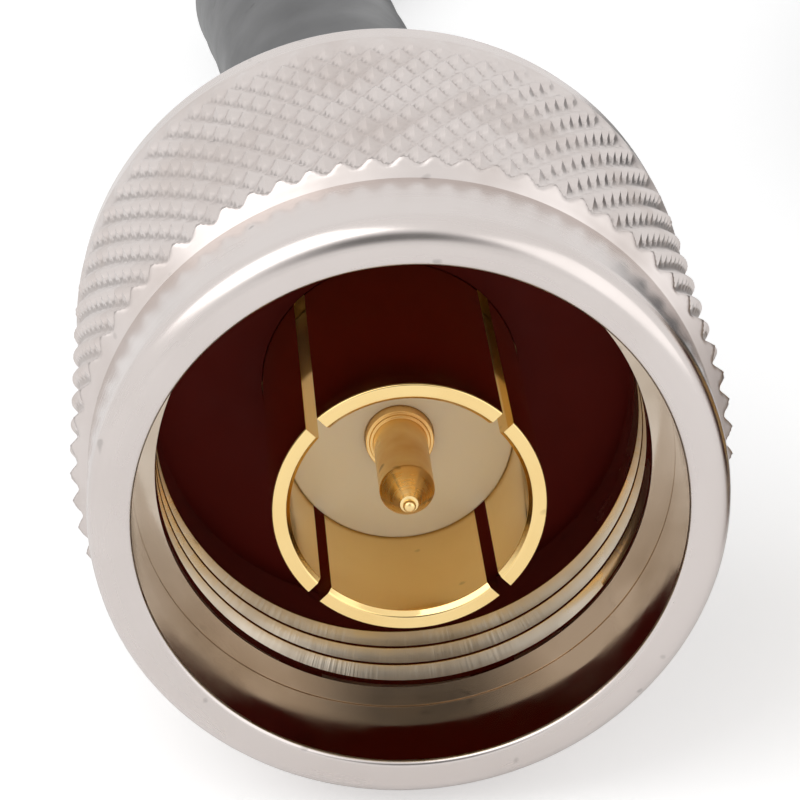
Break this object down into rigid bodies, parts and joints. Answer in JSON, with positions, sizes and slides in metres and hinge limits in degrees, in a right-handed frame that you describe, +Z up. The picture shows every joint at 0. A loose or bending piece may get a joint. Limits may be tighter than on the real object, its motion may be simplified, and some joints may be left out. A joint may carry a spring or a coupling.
{
  "type": "coaxial cable plug",
  "caption": "Coaxial plug of the N type: knurled coupling nut, slotted outer contact, centre pin and crimped lead.",
  "frame": {"origin": "on the near plug's axis, in its reference plane at the rim of the outer contact", "axes": "+Y along the plug from its mouth towards the cable, +Z up, the nut lying on z = -10 mm"},
  "size_m": [0.1101, 0.093, 0.02],
  "materials": {
    "nickel_plate": "satin",
    "spring_steel": "satin",
    "gold_plate": "polished",
    "ptfe": "satin",
    "silicone": "matte",
    "foam": "matte",
    "tinned_braid": "satin",
    "copper_wire": "satin",
    "heat_shrink_grey": "satin",
    "jacket_grey": "satin",
    "strap_black": "matte"
  },
  "bodies": {
    "root": {"near_gasket": "silicone", "near_plug_body": "nickel_plate", "near_outer_contact": "gold_plate", "near_front_insulator": "ptfe", "near_rear_insulator": "ptfe", "near_centre_pin": "gold_plate", "near_centre_conductor": "copper_wire", "near_dielectric": "foam", "near_braid": "tinned_braid", "near_crimp_ferrule": "nickel_plate", "near_heat_shrink": "heat_shrink_grey", "far_gasket": "silicone", "far_plug_body": "nickel_plate", "far_outer_contact": "gold_plate", "far_front_insulator": "ptfe", "far_rear_insulator": "ptfe", "far_centre_pin": "gold_plate", "far_centre_conductor": "copper_wire", "far_dielectric": "foam", "far_braid": "tinned_braid", "far_crimp_ferrule": "nickel_plate", "far_heat_shrink": "heat_shrink_grey", "cable_lead_near": "jacket_grey", "cable_coil": "jacket_grey", "cable_lead_far": "jacket_grey", "coil_tie": "strap_black"},
    "near_ring": {"near_retaining_ring": "spring_steel"},
    "near_nut": {"near_coupling_nut": "nickel_plate"},
    "far_ring": {"far_retaining_ring": "spring_steel"},
    "far_nut": {"far_coupling_nut": "nickel_plate"}
  },
  "joints": [
    {"name": "near_nut_play", "type": "slide", "parent": "root", "child": "near_ring", "axis": [0, 1, 0], "range_m": [0, 0.0004]},
    {"name": "near_nut_turn", "type": "hinge", "parent": "near_ring", "child": "near_nut", "pos_m": [0, 0.01235, 0], "axis": [0, 1, 0], "continuous": true},
    {"name": "far_nut_play", "type": "slide", "parent": "root", "child": "far_ring", "axis": [1, 0, 0], "range_m": [0, 0.0004]},
    {"name": "far_nut_turn", "type": "hinge", "parent": "far_ring", "child": "far_nut", "pos_m": [0.03335, 0.0096, 0], "axis": [1, 0, 0], "continuous": true}
  ]
}
